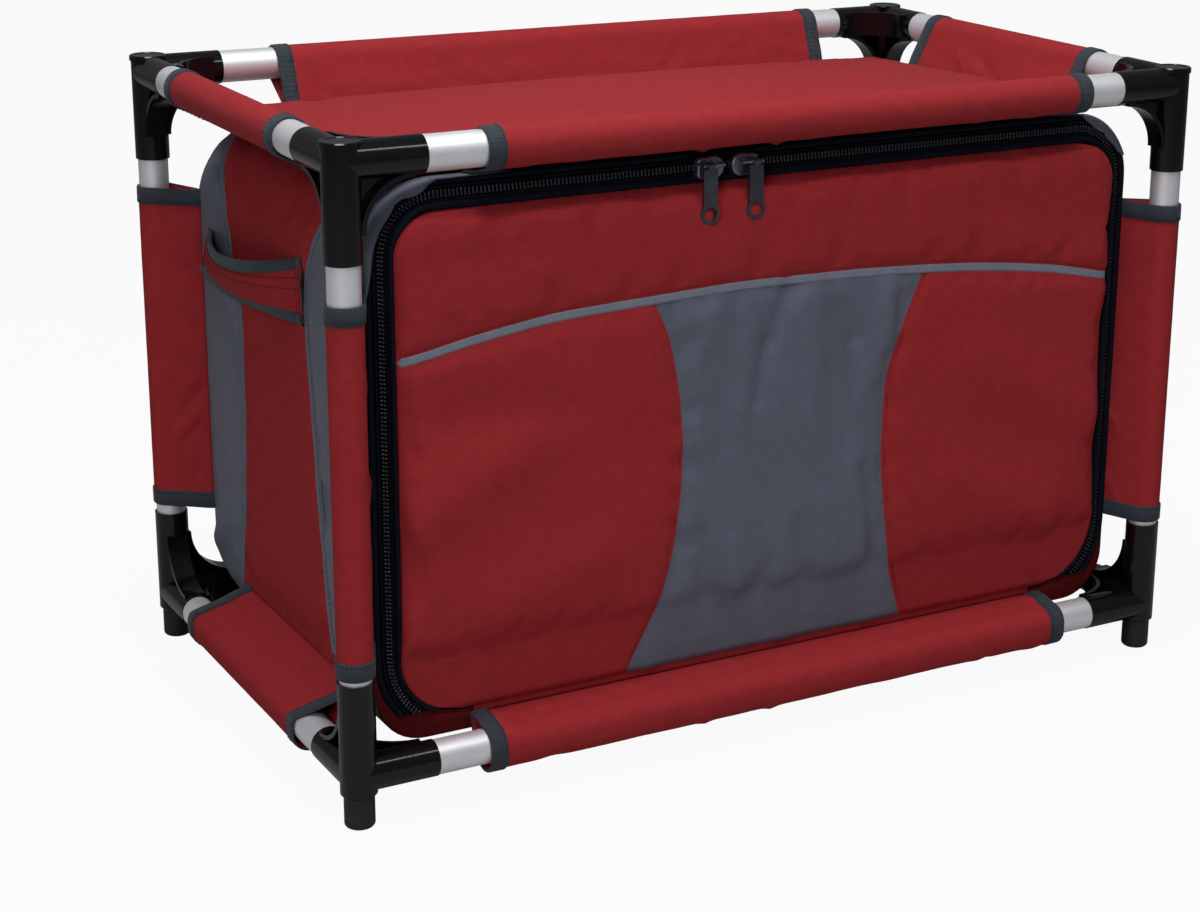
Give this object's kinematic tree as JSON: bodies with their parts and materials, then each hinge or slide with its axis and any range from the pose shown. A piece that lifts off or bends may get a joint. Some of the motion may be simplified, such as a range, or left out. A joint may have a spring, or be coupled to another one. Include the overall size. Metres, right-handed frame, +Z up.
{
  "type": "camp table with organizer",
  "caption": "Low tube-framed camp table with a fabric tray top and a zipped fabric organizer bag slung inside the frame, on telescopic legs.",
  "frame": {"origin": "on the ground, under the middle of the table's plan outline, with the legs pushed in", "axes": "+Z up, +X to the right along the long side, -Y towards the zipped front"},
  "size_m": [0.6858, 0.4064, 0.461],
  "materials": {
    "corner_plastic": "gloss",
    "tube_aluminium": "satin",
    "leg_aluminium": "satin",
    "foot_rubber": "matte",
    "lock_nylon": "matte",
    "red_fabric": "matte",
    "door_fabric": "matte",
    "tray_fabric": "matte",
    "grey_fabric": "satin",
    "zip_tape": "matte",
    "zip_metal": "satin",
    "board_plastic": "matte"
  },
  "bodies": {
    "frame": {"bag_shell": "red_fabric", "bag_zip_half": "zip_tape", "base_board": "board_plastic", "base_corner_front_left": "corner_plastic", "base_corner_front_right": "corner_plastic", "base_corner_rear_left": "corner_plastic", "base_corner_rear_right": "corner_plastic", "base_loop_front": "red_fabric", "base_loop_left": "red_fabric", "base_loop_rear": "red_fabric", "base_loop_right": "red_fabric", "base_rail_front": "tube_aluminium", "base_rail_left": "tube_aluminium", "base_rail_rear": "tube_aluminium", "base_rail_right": "tube_aluminium", "handle_left": "red_fabric", "handle_right": "red_fabric", "post_front_left": "tube_aluminium", "post_front_right": "tube_aluminium", "post_loop_front_left": "red_fabric", "post_loop_front_right": "red_fabric", "post_loop_rear_left": "red_fabric", "post_loop_rear_right": "red_fabric", "post_rear_left": "tube_aluminium", "post_rear_right": "tube_aluminium", "shelf_board": "board_plastic", "shelf_divider": "grey_fabric", "top_board": "board_plastic", "top_corner_front_left": "corner_plastic", "top_corner_front_right": "corner_plastic", "top_corner_rear_left": "corner_plastic", "top_corner_rear_right": "corner_plastic", "top_rail_front": "tube_aluminium", "top_rail_left": "tube_aluminium", "top_rail_rear": "tube_aluminium", "top_rail_right": "tube_aluminium", "tray_floor": "tray_fabric", "tray_loop_front": "red_fabric", "tray_loop_left": "red_fabric", "tray_loop_rear": "red_fabric", "tray_loop_right": "red_fabric"},
    "leg_front_left": {"leg_tube_front_left": "leg_aluminium", "foot_front_left": "foot_rubber", "leg_lock_front_left": "lock_nylon"},
    "leg_front_right": {"leg_tube_front_right": "leg_aluminium", "foot_front_right": "foot_rubber", "leg_lock_front_right": "lock_nylon"},
    "leg_rear_left": {"leg_tube_rear_left": "leg_aluminium", "foot_rear_left": "foot_rubber", "leg_lock_rear_left": "lock_nylon"},
    "leg_rear_right": {"leg_tube_rear_right": "leg_aluminium", "foot_rear_right": "foot_rubber", "leg_lock_rear_right": "lock_nylon"},
    "door": {"door_panel": "door_fabric", "door_zip_half": "zip_tape"},
    "slider_left": {"zip_slider_left": "zip_metal"},
    "pull_left": {"zip_pull_left": "zip_metal"},
    "slider_right": {"zip_slider_right": "zip_metal"},
    "pull_right": {"zip_pull_right": "zip_metal"}
  },
  "joints": [
    {"name": "leg_slide_front_left", "type": "slide", "parent": "frame", "child": "leg_front_left", "axis": [0, 0, -1], "range_m": [0, 0.25]},
    {"name": "leg_slide_front_right", "type": "slide", "parent": "frame", "child": "leg_front_right", "axis": [0, 0, -1], "range_m": [0, 0.25]},
    {"name": "leg_slide_rear_left", "type": "slide", "parent": "frame", "child": "leg_rear_left", "axis": [0, 0, -1], "range_m": [0, 0.25]},
    {"name": "leg_slide_rear_right", "type": "slide", "parent": "frame", "child": "leg_rear_right", "axis": [0, 0, -1], "range_m": [0, 0.25]},
    {"name": "door_hinge", "type": "hinge", "parent": "frame", "child": "door", "pos_m": [0, -0.168, 0.058], "axis": [1, 0, 0], "range_deg": [0, 90]},
    {"name": "zip_slide_left", "type": "slide", "parent": "door", "child": "slider_left", "axis": [-1, 0, 0], "range_m": [0, 0.19]},
    {"name": "zip_slide_right", "type": "slide", "parent": "door", "child": "slider_right", "axis": [1, 0, 0], "range_m": [0, 0.27]},
    {"name": "pull_hinge_left", "type": "hinge", "parent": "slider_left", "child": "pull_left", "pos_m": [-0.0625, -0.1828, 0.42], "axis": [-1, 0, 0], "range_deg": [0, 100]},
    {"name": "pull_hinge_right", "type": "hinge", "parent": "slider_right", "child": "pull_right", "pos_m": [-0.0265, -0.1828, 0.42], "axis": [-1, 0, 0], "range_deg": [0, 100]}
  ]
}
